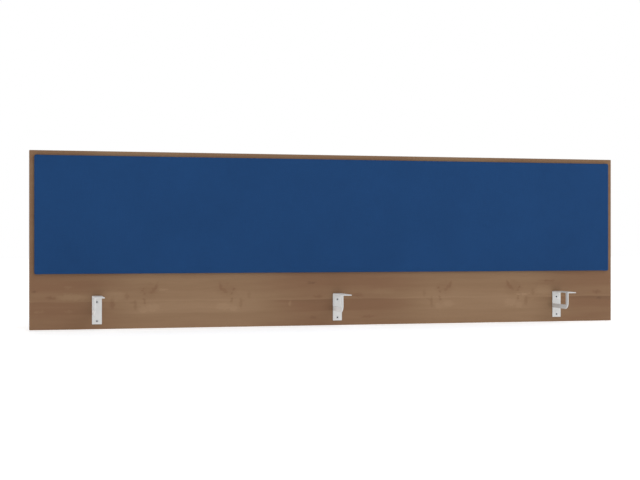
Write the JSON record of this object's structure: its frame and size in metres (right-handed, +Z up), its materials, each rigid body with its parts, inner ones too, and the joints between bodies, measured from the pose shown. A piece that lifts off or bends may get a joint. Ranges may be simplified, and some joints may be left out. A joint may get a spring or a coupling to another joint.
{
  "type": "desk privacy panel",
  "caption": "Upright wood-decor board with an upholstered pad on its front, hung behind a desk on folded steel brackets that screw up under the desktop",
  "frame": {"origin": "middle of the two desk screw holes in the middle bracket's tab, on the top face that the desktop rests on", "axes": "X runs along the panel, -Y is the padded front that faces the desk's user, +Z is up"},
  "size_m": [1.59, 0.117, 0.45],
  "materials": {
    "board_decor": "matt walnut decor, grain along the panel",
    "edge_band": "matt plastic edge band in the board's decor",
    "hardboard": "raw brown hardboard",
    "foam": "thin open-cell foam",
    "pad_cloth": "close plain-woven blue polyester cloth",
    "staple_wire": "zinc-plated wire",
    "clip_plastic": "natural moulded nylon",
    "bracket_paint": "satin light-grey powder coat",
    "screw_zinc": "bright zinc plate, dark in the recess"
  },
  "bodies": {
    "root": {"board_core": "board_decor", "edge_band_top": "edge_band", "edge_band_bottom": "edge_band", "edge_band_left": "edge_band", "edge_band_right": "edge_band", "pad_backing": "hardboard", "pad_foam": "foam", "pad_cover": "pad_cloth", "pad_staples": "staple_wire", "clip_studs": "clip_plastic", "clip_sockets": "clip_plastic", "bracket_left": "bracket_paint", "bracket_middle": "bracket_paint", "bracket_right": "bracket_paint", "bracket_screws": "screw_zinc"}
  },
  "joints": []
}
